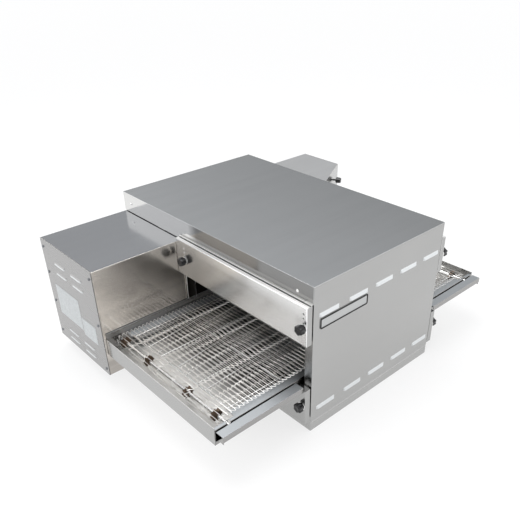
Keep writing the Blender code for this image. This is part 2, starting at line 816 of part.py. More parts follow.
def build_conveyor_frame():
    length, low, top = RAIL_HALF_LENGTH, RAIL_BOTTOM, RAIL_TOP
    y, run, rod = FRONT_RAIL, 0.480, RACK_ROD_RADIUS
    front = [
        ((-length, y, low), (length, y + SHEET, top)),
        ((-length, y, top - SHEET), (length, y + 0.009, top)),
        ((-run, y, top - SHEET), (run, y + 0.031, top)),
        ((-length, y, low), (length, y + 0.010, low + SHEET)),
    ]
    for side in (-1, 1):
        start, end = sorted((side * length, side * (PANEL_OUT + 0.001)))
        shelf, leg, under = SHELF_FRONT, y - SHELF_GAP, CHANNEL_BOTTOM
        front.append(((start, shelf, SHELF_TOP - SHEET), (end, leg, SHELF_TOP)))
        front.append(((start, shelf, SHELF_BOTTOM), (end, shelf + SHEET, SHELF_TOP)))
        front.append(((start, leg - SHEET, under), (end, leg, SHELF_TOP)))
        front.append(((start, leg - SHEET, under), (end, y + SHEET, under + SHEET)))
    notches = shaft_notches(y - 0.001, y + 0.008, top + 0.001)
    add_object("conveyor_rail_front", block_mesh(front, notches), STEEL)

    y = BACK_RAIL
    back = (
        ((-length, y - SHEET, low), (length, y, BACK_RAIL_TOP)),
        ((-run, y - 0.0265, top - SHEET), (run, y, top)),
        ((-length, y - 0.010, low), (length, y, low + SHEET)),
    )
    notches = shaft_notches(y - 0.008, y + 0.001, SHAFT_HEIGHT + 0.006)
    add_object("conveyor_rail_back", block_mesh(back, notches), STEEL)

    front, back = FRONT_RAIL + 0.011, BACK_RAIL - 0.011
    crossing = []
    for x in (-RACK_END, -0.307, -RACK_MIDDLE, 0.0, RACK_MIDDLE, 0.307, RACK_END):
        crossing.append(rod_mesh((x, front, CROSS_ROD_HEIGHT), (0, 1, 0), back - front, rod, 10))
    grid = add_object("belt_support_grid", gathered(crossing), STEEL)
    reach = RACK_END + 0.003
    along = []
    for y in RACK_RODS:
        along.append(rod_mesh((-reach, y, RACK_HEIGHT), (1, 0, 0), 2 * reach, rod, 10))
    combine(grid, along, "UNION")
    slanted = []
    for side in (-1, 1):
        for y, slope in SLANTED_RODS:
            direction = Vector((-side, slope, 0))
            length = (reach - RACK_MIDDLE + 0.003) * direction.length
            start = (side * reach, y, RACK_HEIGHT)
            slanted.append(rod_mesh(start, direction.normalized(), length, rod, 10))
    combine(grid, slanted, "UNION")


def stadium(radius, segments=12):
    """The outline of a loop round both shafts, in X and Z."""
    points = []
    for side in (1, -1):
        for step in range(segments + 1):
            angle = side * math.pi / 2 - math.pi * step / segments
            x = side * SHAFT_OUT + radius * math.cos(angle)
            points.append((x, SHAFT_HEIGHT + radius * math.sin(angle)))
    return points


def toothed(radius, root, teeth, centre):
    points = []
    for step in range(teeth * 4):
        angle = 2 * math.pi * step / (teeth * 4)
        reach = radius if step % 4 in (0, 1) else root
        points.append((centre[0] + reach * math.cos(angle), centre[1] + reach * math.sin(angle)))
    return points


def wheel_mesh(radius, root, teeth, centre, low, high):
    inner = circle(BORE_RADIUS, centre, teeth * 4)
    return ring_mesh(toothed(radius, root, teeth, centre), inner, 1, low, high)


def build_belt_and_shafts():
    belt = ring_mesh(stadium(BELT_OUTER), stadium(BELT_INNER), 1, BELT_FRONT, BELT_BACK)
    add_object("conveyor_belt", belt, WIRE_STEEL)
    for name, side, end in (("drive", -1, 0.150), ("idler", 1, 0.1128)):
        centre = (side * SHAFT_OUT, SHAFT_HEIGHT)
        pivot = (centre[0], 0, centre[1])
        start = FRONT_RAIL - 0.003
        mesh = rod_mesh((centre[0], start, centre[1]), (0, 1, 0), end - start, SHAFT_RADIUS, 16)
        add_object(f"{name}_shaft", mesh, BRIGHT_STEEL, pivot, True)
        for number, y in enumerate(SPROCKET_PLACES, 1):
            low, high = y - SPROCKET_HALF_WIDTH, y + SPROCKET_HALF_WIDTH
            mesh = wheel_mesh(SPROCKET_RADIUS, SPROCKET_ROOT, SPROCKET_TEETH, centre, low, high)
            add_object(f"{name}_belt_sprocket_{number}", mesh, STEEL, (centre[0], y, centre[1]))


def chain_outline(extra, segments=10):
    """A loop round the two chain sprockets, made of two arcs and the straight runs between."""
    driven = Vector((-SHAFT_OUT, SHAFT_HEIGHT))
    pinion = Vector((-MOTOR_OUT, MOTOR_HEIGHT))
    between = pinion - driven
    bearing = math.atan2(between.y, between.x)
    lean = math.acos((DRIVEN_RADIUS - PINION_RADIUS) / between.length)
    points = []
    for centre, radius, start, sweep in (
        (driven, DRIVEN_RADIUS, bearing + lean, 2 * (math.pi - lean)),
        (pinion, PINION_RADIUS, bearing - lean, 2 * lean),
    ):
        for step in range(segments + 1):
            angle = start + sweep * step / segments
            reach = radius + extra
            points.append((centre.x + reach * math.cos(angle), centre.y + reach * math.sin(angle)))
    return points


def build_drive():
    low, high = CHAIN_PLANE - 0.002, CHAIN_PLANE + 0.002
    driven = (-SHAFT_OUT, SHAFT_HEIGHT)
    pinion = (-MOTOR_OUT, MOTOR_HEIGHT)
    mesh = wheel_mesh(DRIVEN_RADIUS, DRIVEN_RADIUS - 0.003, 16, driven, low, high)
    add_object("driven_sprocket", mesh, CAST_METAL, (driven[0], CHAIN_PLANE, driven[1]))
    mesh = wheel_mesh(PINION_RADIUS, PINION_RADIUS - 0.003, 12, pinion, low, high)
    add_object("motor_sprocket", mesh, CAST_METAL, (pinion[0], CHAIN_PLANE, pinion[1]))
    half = CHAIN_WIDTH / 2
    outer, inner = chain_outline(CHAIN_THICKNESS), chain_outline(0.0006)
    mesh = ring_mesh(outer, inner, 1, CHAIN_PLANE - half, CHAIN_PLANE + half)
    add_object("drive_chain", mesh, CAST_METAL)

    x, z = pinion
    floor = BOX_BOTTOM + SHEET + FIT
    gearbox = (
        ((x - 0.040, 0.150, z - 0.045), (x + 0.040, 0.215, z + 0.045)),
        ((x - 0.045, 0.147, floor), (x + 0.045, 0.151, z + 0.045)),
        ((x - 0.045, 0.147, floor), (x + 0.045, 0.210, floor + 0.004)),
    )
    motor = add_object("drive_motor", block_mesh(gearbox), CAST_METAL)
    shaft = rod_mesh((x, 0.128, z), (0, 1, 0), 0.030, SHAFT_RADIUS)
    body = rod_mesh((x, 0.210, z), (0, 1, 0), 0.115, 0.036, 20)
    combine(motor, [shaft, body], "UNION")


def build_crumb_tray(side, name):
    """A pan under one end of the belt, pulled out by its end plate."""
    out, inner = TRAY_END, TRAY_INNER_END
    front, back = FRONT_RAIL + SHEET + 0.0007, BACK_RAIL - SHEET - 0.0007
    floor, lip = RAIL_BOTTOM + SHEET + FIT, TRAY_LIP
    notch, narrow = TRAY_NOTCH, TRAY_NOTCH_BACK
    boxes = (
        ((-out, FRONT_RAIL, RAIL_BOTTOM), (-out + SHEET, BACK_RAIL, TRAY_END_TOP)),
        ((-out, front, floor), (-inner, narrow, floor + SHEET)),
        ((-out, front, floor), (-notch, back, floor + SHEET)),
        ((-out, front, floor), (-inner, front + SHEET, lip)),
        ((-out, back - SHEET, floor), (-notch, back, lip)),
        ((-notch - SHEET, narrow - SHEET, floor), (-notch, back, lip)),
        ((-notch - SHEET, narrow - SHEET, floor), (-inner, narrow, lip)),
        ((-inner - SHEET, front, floor), (-inner, narrow, TRAY_INNER_LIP)),
    )
    pivot = (side * out, 0, floor)
    add_object(f"{name}_crumb_tray", block_mesh(boxes, side=side), STEEL, pivot)


def build_inlet_box():
    end = BOX_END - SHEET - BOX_SEAM
    outer = ((-end, BOX_FRONT, BOX_BOTTOM), (-BOX_ROOT, BOX_BACK, BOX_TOP))
    wall = SHEET
    holes = [
        ((-0.6, BOX_FRONT + wall, BOX_BOTTOM + wall), (-0.2, BOX_BACK - wall, BOX_TOP - wall)),
        (
            (-SHAFT_OUT - 0.008, BOX_FRONT - 0.01, SHAFT_HEIGHT - 0.008),
            (-SHAFT_OUT + 0.008, BOX_FRONT + 0.01, SHAFT_HEIGHT + 0.008),
        ),
    ]
    shell = add_object("inlet_box_shell", block_mesh([outer], holes), STEEL)
    fan_x, fan_z = FAN_PLACE
    gland_x, gland_z = GLAND_PLACE
    fan_hole = rod_mesh((fan_x, BOX_BACK - 0.01, fan_z), (0, 1, 0), 0.02, 0.050, 24)
    gland_hole = rod_mesh((gland_x, BOX_BACK - 0.01, gland_z), (0, 1, 0), 0.02, 0.0085)
    combine(shell, [fan_hole, gland_hole], "DIFFERENCE")

    face = -BOX_END
    mesh = block_mesh((((face, BOX_FRONT, BOX_BOTTOM), (face + SHEET, BOX_BACK, BOX_TOP)),))
    cover = add_object("inlet_box_cover", mesh, STEEL)
    places = [(y, z) for y in (0.215, 0.3135) for z in (0.074, 0.102, 0.299, 0.331)]
    add_louvres(cover, places, BOX_LOUVRE, (-1, 0), face)

    profile = [
        (0.4030, 0, False),
        (0.4030, 0.011, False),
        (0.4160, 0.011, False),
        (0.4160, 0.008, False),
        (0.4184, 0.008, False),
        (0.4184, 0.012, False),
        (0.4215, 0.012, False),
        (0.4250, 0.008, False),
        (0.4250, 0, False),
    ]
    gland = turned_mesh(profile, 12, (gland_x, 0, gland_z), (0, 1, 0))
    add_object("cable_gland", gland, BLACK_PLASTIC)
    build_cooling_fan(fan_x, fan_z)
    block = (
        ((-0.330, 0.200, 0.0468), (-0.275, 0.330, 0.060)),
        ((-0.322, 0.210, 0.0468), (-0.283, 0.320, 0.085)),
    )
    slots = []
    for number in range(5):
        y = 0.228 + 0.020 * number
        slots.append(((-0.325, y - 0.001, 0.070), (-0.280, y + 0.001, 0.09)))
    add_object("terminal_block", block_mesh(block, slots), BLACK_PLASTIC)


def build_cooling_fan(x, z):
    front, back, half = 0.391, BOX_BACK - SHEET - FIT, 0.060
    frame = block_mesh((((x - half, front, z - half), (x + half, back, z + half)),))
    frame = add_object("cooling_fan_frame", frame, BLACK_PLASTIC)
    bore = rod_mesh((x, front - 0.01, z), (0, 1, 0), back - front + 0.006, 0.056, 24)
    vents = []
    for number in range(4):
        angle = math.pi / 2 * (number + 0.5)
        vent = rod_mesh(
            (x + 0.034 * math.cos(angle), back - 0.01, z + 0.034 * math.sin(angle)),
            (0, 1, 0),
            0.02,
            0.018,
            16,
        )
        vents.append(vent)
    combine(frame, [bore], "DIFFERENCE")
    combine(frame, vents, "DIFFERENCE")

    hub = rod_mesh((x, front + 0.002, z), (0, 1, 0), 0.016, 0.019, 20)
    rotor = add_object("cooling_fan_rotor", hub, BLACK_PLASTIC, (x, front, z), True)
    blades = []
    for number in range(5):
        blade = block_mesh((((0.017, -0.001, -0.011), (0.052, 0.001, 0.011)),))
        tilt = Matrix.Rotation(math.radians(32), 4, "X")
        spin = Matrix.Rotation(2 * math.pi * number / 5, 4, "Y")
        blade.transform(Matrix.Translation((x, front + 0.010, z)) @ spin @ tilt)
        blades.append(blade)
    combine(rotor, blades, "UNION")


def panel_frame():
    """Start, direction along and direction out of the slanted control face."""
    start = Vector((PANEL_BEND, BOX_FRONT, 0))
    end = Vector((BOX_END - SHEET - BOX_SEAM, PANEL_CORNER, 0))
    along = (end - start).normalized()
    out = Vector((along.y, -along.x, 0))
    return start, along, out, (end - start).length


def build_outlet_box():
    start, along, out, length = panel_frame()
    end = BOX_END - SHEET - BOX_SEAM
    outline = (
        (BOX_ROOT, BOX_FRONT),
        (PANEL_BEND, BOX_FRONT),
        (end, PANEL_CORNER),
        (end, BOX_BACK),
        (BOX_ROOT, BOX_BACK),
    )
    shell = prism_mesh(outline, 2, BOX_BOTTOM, BOX_TOP)
    shell = add_object("outlet_box_shell", shell, STEEL)
    inner = (
        (BOX_ROOT - 0.02, BOX_FRONT + SHEET),
        (PANEL_BEND - 0.004, BOX_FRONT + SHEET),
        (PANEL_BEND - 0.004, BOX_FRONT - 0.05),
        (end + 0.05, BOX_FRONT - 0.05),
        (end + 0.05, BOX_BACK - SHEET),
        (BOX_ROOT - 0.02, BOX_BACK - SHEET),
    )
    combine(shell, [prism_mesh(inner, 2, BOX_BOTTOM + SHEET, BOX_TOP - SHEET)], "DIFFERENCE")

    face = BOX_END
    front = PANEL_CORNER + 0.0012
    mesh = block_mesh((((face - SHEET, front, BOX_BOTTOM), (face, BOX_BACK, BOX_TOP)),))
    cover = add_object("outlet_box_cover", mesh, STEEL)
    places = [(0.325, z) for z in (0.074, 0.102, 0.299, 0.331)]
    add_louvres(cover, places, BOX_LOUVRE, (1, 0), face)

    low, high = BOX_BOTTOM + SHEET + FIT, BOX_TOP - SHEET - FIT
    slot_start, slot_end = start + along * 0.001, start + along * (length - 0.001)
    corners = (
        slot_start,
        slot_end,
        slot_end - out * SHEET,
        slot_start - out * SHEET,
    )
    panel = prism_mesh([(c.x, c.y) for c in corners], 2, low, high)
    panel = add_object("control_panel", panel, STEEL)
    build_controls(panel, start, along, out)


def build_controls(panel, start, along, out):
    """Two dials and a rocker switch on the slanted face."""
    holes = []
    dials = (("speed_knob", SPEED_DIAL_HEIGHT), ("temperature_knob", TEMPERATURE_DIAL_HEIGHT))
    for name, height in dials:
        spot = start + along * CONTROL_PLACE
        centre = (spot.x, spot.y, height)
        profile = [
            (-0.008, 0, False),
            (-0.008, 0.003, False),
            (0.009, 0.003, False),
            (0.009, 0.0085, False),
            (0.011, 0.0108, True),
            (0.026, 0.0096, True),
            (0.028, 0.0080, True),
            (0.028, 0, False),
        ]
        mesh = turned_mesh(profile, 20, centre, out, 10, 0.03)
        add_object(name, mesh, BLACK_PLASTIC, centre, True)
        hole_start = Vector(centre) - out * 0.01
        holes.append(rod_mesh(hole_start, out, 0.02, 0.0036))

    spot = start + along * CONTROL_PLACE
    height, half_width, half_height, gap = ROCKER_HEIGHT, 0.0095, 0.0135, 0.0008
    holes.append(oriented_box(spot, along, out, height, half_width + gap, 0.01, half_height + gap))
    rocker = oriented_box(spot, along, out, height, half_width, 0.004, half_height)
    for vertex in rocker.vertices:
        depth = (vertex.co - spot).dot(out)
        if depth > 0 and vertex.co.z > height:
            vertex.co -= out * 0.003
        if depth < 0:
            vertex.co.z = height + (vertex.co.z - height) * 0.7
    add_object("power_rocker", rocker, BLACK_PLASTIC, (spot.x, spot.y, height))
    combine(panel, holes, "DIFFERENCE")


def oriented_box(middle, along, out, height, half_along, half_out, half_tall):
    """A box turned to stand on the slanted face."""
    bm = bmesh.new()
    bmesh.ops.create_cube(bm, size=2)
    for vertex in bm.verts:
        x, y, z = vertex.co
        place = middle + along * (x * half_along) + out * (y * half_out)
        vertex.co = (place.x, place.y, height + z * half_tall)
    return mesh_from(bm)


def main():
    clear_scene()
    build_base()
    build_front_and_back()
    build_cover()
    for side, name in ((-1, "inlet"), (1, "outlet")):
        build_end(side, name)
        build_thumb_knobs(side, name)
        build_crumb_tray(side, name)
    build_chamber()
    build_jet_duct("upper_jet_duct", 0.302, 0.392, 0.317, 0.383, 0.302)
    build_jet_duct("lower_jet_duct", 0.044, 0.108, 0.050, 0.098, 0.108)
    build_blower()
    build_conveyor_frame()
    build_belt_and_shafts()
    build_drive()
    build_inlet_box()
    build_outlet_box()


main()
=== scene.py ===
"""Looks for the countertop conveyor oven: materials, wire belt, folded sheet edges, fixings.

Every size is in metres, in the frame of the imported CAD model: the belt runs along X, the
inlet end is at -X, the front panel faces -Y and Z is up.
"""

import json
import math

import bmesh
import bpy
from mathutils import Matrix, Vector


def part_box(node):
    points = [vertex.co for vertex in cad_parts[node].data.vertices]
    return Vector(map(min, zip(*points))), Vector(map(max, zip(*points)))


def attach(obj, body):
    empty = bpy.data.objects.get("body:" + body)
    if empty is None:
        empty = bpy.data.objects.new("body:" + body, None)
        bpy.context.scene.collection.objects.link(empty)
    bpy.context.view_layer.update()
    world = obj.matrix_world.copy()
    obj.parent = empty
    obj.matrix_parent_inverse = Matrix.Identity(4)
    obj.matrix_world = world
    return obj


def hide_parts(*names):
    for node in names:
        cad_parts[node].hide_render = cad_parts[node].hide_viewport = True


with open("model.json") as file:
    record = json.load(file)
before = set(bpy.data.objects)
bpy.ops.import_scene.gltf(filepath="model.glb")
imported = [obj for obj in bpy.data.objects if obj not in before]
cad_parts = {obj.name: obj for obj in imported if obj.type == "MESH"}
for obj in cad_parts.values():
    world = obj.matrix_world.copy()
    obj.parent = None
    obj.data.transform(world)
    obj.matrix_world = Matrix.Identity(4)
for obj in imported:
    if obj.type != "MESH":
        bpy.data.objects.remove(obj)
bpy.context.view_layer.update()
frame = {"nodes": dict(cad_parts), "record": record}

NODES = frame["nodes"]
BODY_OF = {}
for body_name, body_nodes in frame["record"]["behaviour"]["bodies"].items():
    for node_name in body_nodes:
        BODY_OF[node_name] = body_name
SLOT_OF = {part["node"]: part["material_slot"] for part in frame["record"]["subparts"]}

# Belt
SHAFT_OUT = 0.503
SHAFT_HEIGHT = 0.153
WIRE_RADIUS = 0.0009
LOOP_RADIUS = 0.0174
STRANDS = 161
Z_ROWS = (-0.297, -0.231, -0.165, -0.099, -0.033, 0.033)
Z_HALF = 0.0065
JOG_EXTRA = 0.0022
BELT_FRONT = -0.3695
BELT_BACK = 0.1050

# Rack under the belt's upper run
RACK_END = 0.476
RACK_HEIGHT = 0.1662
RACK_RADIUS = 0.0019

# Thumb knobs, and the spare adjusting holes above those of each door
KNOB_HEIGHTS = (("upper", 0.341), ("lower", 0.097))
KNOB_PLACES = (("front", -0.409), ("back", 0.074))
SPARE_HOLES = (0.354, 0.367, 0.380)

# Labels and screws on the end faces of the boxes
LABEL_FACE = -0.5563
LABEL_DEPTH = 0.0002
BOX_FACE = 0.556
SCREW_RADIUS = 0.0034

# Camera: lens in millimetres on a 36 mm sensor, shifts as shares of the frame's side
SENSOR = 36.0
LENS = 41.736115
SHIFT_X = -0.02232692
SHIFT_Y = 0.09911538
CAMERA_PLACE = (-1.1401, -1.2443, 1.1485)
CAMERA_AZIMUTH = -42.126
CAMERA_ELEVATION = 32.444
CAMERA_ROLL = -0.824


# Studio, as the steel mirrors it: pale all round, with one dim wall behind the oven
DIM_WALL = (0.62, 0.70, 0.36)
DIM_EDGE, DIM_CORE = 0.62, 0.88
SKY = (
    (0.0, (1.0, 1.0, 1.0)),
    (0.10, (1.0, 1.0, 1.0)),
    (0.34, (0.60, 0.605, 0.61)),
    (1, (0.42, 0.42, 0.43)),
)
DIM_SKY = ((0.0, (0.50, 0.50, 0.50)), (0.25, (0.247, 0.254, 0.26)), (1, (0.325, 0.33, 0.338)))
SKY_STRENGTH = 1.9
LAMP_PLACE, LAMP_TARGET = (-0.2, 0.3, 2.6), (0, 0, 0.1)
LAMP_SIZE = (2.0, 1.6)
LAMP_POWER = 40

# Painted light and shade on the sheets, fixed to the object: painted shade darkens the flange over
# the opening, the door near its box and the foot of the box; painted sheen dulls the cover's outlet
# side
FLANGE_PAINTED_SHADE = ("Y", -0.66, 0.0, 0.035, 0.075)
DOOR_PAINTED_SHADE = ("Y", 0.10, -0.42, -0.16, 0.02)
BOX_PAINTED_SHADE = ("Z", -0.5, 0.0, 0.09, 0.14)
COVER_PAINTED_SHEEN = ("X", 0.16, -0.12, -0.26, 0.26)
# Tray pan tones: painted shade, nearly black where the pan runs into the oven
PAN_PAINTED_SHADE = ((0.0, (0.02, 0.018, 0.016)), (0.45, (0.14, 0.135, 0.13)), (1.0, (0.80, 0.79, 0.77)))


# Materials


def new_material(name, colour, roughness, metallic=0.0):
    material = bpy.data.materials.new(name)
    material.use_nodes = True
    shader = material.node_tree.nodes["Principled BSDF"]
    shader.inputs["Base Color"].default_value = (*colour, 1.0)
    shader.inputs["Roughness"].default_value = roughness
    shader.inputs["Metallic"].default_value = metallic
    return material, material.node_tree, shader


def noise(tree, scale, stretch=(1, 1, 1), detail=3.0, roughness=0.6):
    """Noise in object space, stretched by a scale along each axis."""
    place = tree.nodes.new("ShaderNodeTexCoord")
    mapping = tree.nodes.new("ShaderNodeMapping")
    mapping.inputs["Scale"].default_value = stretch
    texture = tree.nodes.new("ShaderNodeTexNoise")
    texture.inputs["Scale"].default_value = scale
    texture.inputs["Detail"].default_value = detail
    texture.inputs["Roughness"].default_value = roughness
    tree.links.new(place.outputs["Object"], mapping.inputs["Vector"])
    tree.links.new(mapping.outputs["Vector"], texture.inputs["Vector"])
    return texture.outputs["Fac"]


def spread(tree, value, low, high, start=0.3, end=0.7):
    """The value mapped from start..end to low..high."""
    node = tree.nodes.new("ShaderNodeMapRange")
    node.inputs["From Min"].default_value = start
    node.inputs["From Max"].default_value = end
    node.inputs["To Min"].default_value = low
    node.inputs["To Max"].default_value = high
    tree.links.new(value, node.inputs["Value"])
    return node.outputs["Result"]


def ramp(tree, value, stops):
    node = tree.nodes.new("ShaderNodeValToRGB")
    elements = node.color_ramp.elements
    while len(elements) < len(stops):
        elements.new(0.5)
    for element, (place, colour) in zip(elements, stops):
        element.position = place
        element.color = (*colour, 1.0)
    tree.links.new(value, node.inputs["Fac"])
    return node.outputs["Color"]


def bump(tree, shader, value, strength, distance):
    node = tree.nodes.new("ShaderNodeBump")
    node.inputs["Strength"].default_value = strength
    node.inputs["Distance"].default_value = distance
    tree.links.new(value, node.inputs["Height"])
    tree.links.new(node.outputs["Normal"], shader.inputs["Normal"])


def place_along(tree, axis):
    """The object-space coordinate along one axis."""
    place = tree.nodes.new("ShaderNodeTexCoord")
    split = tree.nodes.new("ShaderNodeSeparateXYZ")
    tree.links.new(place.outputs["Object"], split.inputs["Vector"])
    return split.outputs[axis]


def shade(colour, factor):
    return tuple(c * factor for c in colour)


def brushed(name, colour, roughness, along, smear, cloud=0.015, streaks=0.012, painted_light=None):
    """Brushed sheet: fine lines along one axis, gloss smeared across them, slow cloudy tones.

    painted_light is painted shade or sheen along one axis: (axis, change at its start, change at
    its end, start, end).
    """
    material, tree, shader = new_material(name, colour, roughness, 1.0)
    shader.inputs["Anisotropic"].default_value = 0.7
    across = tree.nodes.new("ShaderNodeCombineXYZ")
    for socket, value in zip(across.inputs, smear):
        socket.default_value = value
    tree.links.new(across.outputs["Vector"], shader.inputs["Tangent"])
    fine, broad = [900.0] * 3, [45.0] * 3
    fine["XYZ".index(along)] = 2.0
    broad["XYZ".index(along)] = 1.2
    lines = noise(tree, 1.0, fine, detail=0.0)
    bands = noise(tree, 1.0, broad, detail=3.0)
    clouds = noise(tree, 4.0, detail=2.0)
    total = tree.nodes.new("ShaderNodeMath")
    total.operation = "ADD"
    tree.links.new(spread(tree, bands, -streaks, streaks), total.inputs[0])
    tree.links.new(spread(tree, clouds, 1 - cloud, 1 + cloud), total.inputs[1])
    # Painted shade or sheen: the tone raised or lowered along one axis
    if painted_light:
        axis, first, last, start, end = painted_light
        added = tree.nodes.new("ShaderNodeMath")
        added.operation = "ADD"
        tree.links.new(total.outputs[0], added.inputs[0])
        change = spread(tree, place_along(tree, axis), first, last, start, end)
        tree.links.new(change, added.inputs[1])
        total = added
    tint = tree.nodes.new("ShaderNodeMix")
    tint.data_type = "RGBA"
    tint.blend_type = "MULTIPLY"
    tint.inputs[0].default_value = 1.0
    tint.inputs[6].default_value = (*colour, 1.0)
    tree.links.new(total.outputs[0], tint.inputs[7])
    tree.links.new(tint.outputs[2], shader.inputs["Base Color"])
    gloss = spread(tree, bands, roughness - 0.03, roughness + 0.03)
    tree.links.new(gloss, shader.inputs["Roughness"])
    bump(tree, shader, lines, 0.02, 0.00003)
    return material


def worn_pan_painted_shade():
    """Tray sheet, scuffed, bright at its outer end and painted dark with shade where it runs into
    the oven.
    """
    material, tree, shader = new_material("worn_pan_painted_shade", (0.6, 0.6, 0.59), 0.4, 0.45)
    out = tree.nodes.new("ShaderNodeMath")
    out.operation = "ABSOLUTE"
    tree.links.new(place_along(tree, "X"), out.inputs[0])
    depth = spread(tree, out.outputs[0], 0, 1, 0.28, 0.46)
    tone = ramp(tree, depth, PAN_PAINTED_SHADE)
    tree.links.new(tone, shader.inputs["Base Color"])
    scuffs = noise(tree, 1.0, (60, 8, 60), detail=4.0)
    tree.links.new(spread(tree, scuffs, 0.34, 0.5), shader.inputs["Roughness"])
    bump(tree, shader, scuffs, 0.1, 0.0002)
    return material


def moulded(name, colour, roughness, scale=700.0, shine=0.5):
    """Moulded plastic with a fine spark-eroded grain."""
    material, tree, shader = new_material(name, colour, roughness)
    shader.inputs["Specular IOR Level"].default_value = shine
    grain = noise(tree, scale, detail=2.0)
    slow = noise(tree, 40.0)
    tone = ramp(tree, slow, ((0.3, shade(colour, 0.8)), (0.7, shade(colour, 1.25))))
    tree.links.new(tone, shader.inputs["Base Color"])
    change = spread(tree, slow, roughness - 0.06, roughness + 0.08)
    tree.links.new(change, shader.inputs["Roughness"])
    bump(tree, shader, grain, 0.15, 0.0001)
    return material


def metal(name, colour, roughness, scale=60.0, dark=0.8):
    """Plain metal with uneven gloss and small stains."""
    material, tree, shader = new_material(name, colour, roughness, 1.0)
    slow = noise(tree, scale, detail=5.0)
    tone = ramp(tree, slow, ((0.35, shade(colour, dark)), (0.65, colour)))
    tree.links.new(tone, shader.inputs["Base Color"])
    change = spread(tree, slow, roughness + 0.08, roughness - 0.05)
    tree.links.new(change, shader.inputs["Roughness"])
    bump(tree, shader, noise(tree, scale * 20), 0.08, 0.0001)
    return material


def wool():
    """Mineral wool: fibres and clumps."""
    colour = (0.62, 0.55, 0.40)
    material, tree, shader = new_material("mineral_wool", colour, 0.95)
    clumps = noise(tree, 45.0, (1, 1, 2), detail=8.0, roughness=0.75)
    tone = ramp(tree, clumps, ((0.3, shade(colour, 0.65)), (0.7, shade(colour, 1.15))))
    tree.links.new(tone, shader.inputs["Base Color"])
    bump(tree, shader, clumps, 0.8, 0.003)
    return material


def label_material():
    """White film label with a faint blue cast, slightly crinkled."""
    colour = (0.50, 0.525, 0.535)
    material, tree, shader = new_material("label_film", colour, 0.35)
    slow = noise(tree, 260.0, detail=3.0)
    tone = ramp(tree, slow, ((0.35, shade(colour, 0.78)), (0.65, shade(colour, 1.04))))
    tree.links.new(tone, shader.inputs["Base Color"])
    bump(tree, shader, slow, 0.15, 0.0004)
    return material


# One brushed steel in lit and shaded copies: the tones differ part by part and face by face as
# painted light and shade, brightest on the doors, the box shells, the cover's flanges, the ledges
# and the louvre hoods
MATERIALS = {
    "panel": brushed("brushed_panel", (0.43, 0.43, 0.425), 0.24, "X", (0, 1, 1)),
    "hood": brushed("louvre_hood_painted_highlight", (0.62, 0.64, 0.65), 0.30, "X", (0, 1, 1)),
    "sheet_y": brushed("brushed_sheet_y", (0.41, 0.41, 0.405), 0.16, "Y", (1, 0, 1)),
    "box_end": brushed("brushed_box_end", (0.355, 0.352, 0.35), 0.26, "Y", (1, 0, 1)),
    "door": brushed("brushed_door", (0.92, 0.92, 0.91), 0.19, "Y", (1, 0, 1), painted_light=DOOR_PAINTED_SHADE),
    "flange": brushed("brushed_flange", (0.72, 0.72, 0.71), 0.10, "Y", (1, 0, 1), painted_light=FLANGE_PAINTED_SHADE),
    "ledge_painted_light": brushed("ledge_painted_light", (0.95, 0.945, 0.93), 0.45, "Y", (1, 0, 0)),
    "skirt": brushed("brushed_skirt", (0.44, 0.44, 0.435), 0.28, "X", (0, 0, 1)),
    "cover": brushed("brushed_cover", (0.52, 0.526, 0.53), 0.20, "X", (0, 1, 0), painted_light=COVER_PAINTED_SHEEN),
    "box": brushed("brushed_box", (0.86, 0.81, 0.755), 0.17, "X", (0, 1, 1), 0.03, 0.05, BOX_PAINTED_SHADE),
    "box_top": brushed("brushed_box_top", (0.51, 0.515, 0.53), 0.14, "X", (0, 1, 0)),
    "outlet_top": brushed("brushed_outlet_top", (0.66, 0.66, 0.66), 0.45, "X", (0, 1, 0)),
    "rail": brushed("brushed_rail", (0.345, 0.34, 0.335), 0.26, "X", (0, 1, 1)),
    "shelf": brushed("shelf_painted_light", (0.47, 0.49, 0.505), 0.60, "X", (0, 1, 1)),
    "tray": brushed("brushed_tray", (0.42, 0.42, 0.415), 0.24, "Y", (1, 0, 1)),
    "pan": worn_pan_painted_shade(),
    "wire": metal("belt_wire", (0.93, 0.91, 0.88), 0.30),
    "bright": metal("bright_steel", (0.88, 0.88, 0.87), 0.18),
    # The chamber's steel painted near black: painted shade inside the oven
    "chamber": brushed("chamber_sheet_painted_shade", (0.026, 0.024, 0.021), 0.45, "X", (0, 1, 1), 0.2),
    "sprocket": metal("oiled_sprocket", (0.16, 0.115, 0.085), 0.38, 200.0, 0.5),
    "galvanised": metal("formed_sheet", (0.46, 0.47, 0.48), 0.38, 25.0),
    "cast": metal("cast_metal", (0.30, 0.31, 0.33), 0.5, 90.0),
    "heater": metal("heater_sheath", (0.17, 0.14, 0.12), 0.5, 120.0),
    "black": moulded("black_plastic", (0.003, 0.003, 0.004), 0.20, shine=0.5),
    "wool": wool(),
    "label": label_material(),
    "plate": brushed("etched_plate", (0.50, 0.51, 0.51), 0.33, "X", (0, 1, 1)),
    "ink": moulded("black_enamel", (0.005, 0.005, 0.005), 0.5, shine=0.2),
    "dark": moulded("hole_shadow", (0.01, 0.01, 0.01), 0.9, shine=0.0),
}
SLOT_LOOK = {
    "cabinet_steel": "panel",
    "cover_steel": "cover",
    "conveyor_steel": "rail",
    "belt_wire": "wire",
    "bright_steel": "bright",
    "black_plastic": "black",
    "chamber_steel": "chamber",
    "insulation_wool": "wool",
    "galvanised_steel": "galvanised",
    "cast_metal": "cast",
    "heater_sheath": "heater",
    "plate_metal": "plate",
}
NODE_LOOK = {
    "base_pan": "skirt",
    "inlet_upper_door": "door",
    "outlet_upper_door": "door",
    "inlet_lower_panel": "sheet_y",
    "outlet_lower_panel": "sheet_y",
    "inlet_end_frame": "sheet_y",
    "outlet_end_frame": "sheet_y",
    "inlet_box_cover": "box_end",
    "outlet_box_cover": "box_end",
    "inlet_box_shell": "box",
    "outlet_box_shell": "box",
    "inlet_crumb_tray": "tray",
    "outlet_crumb_tray": "tray",
}
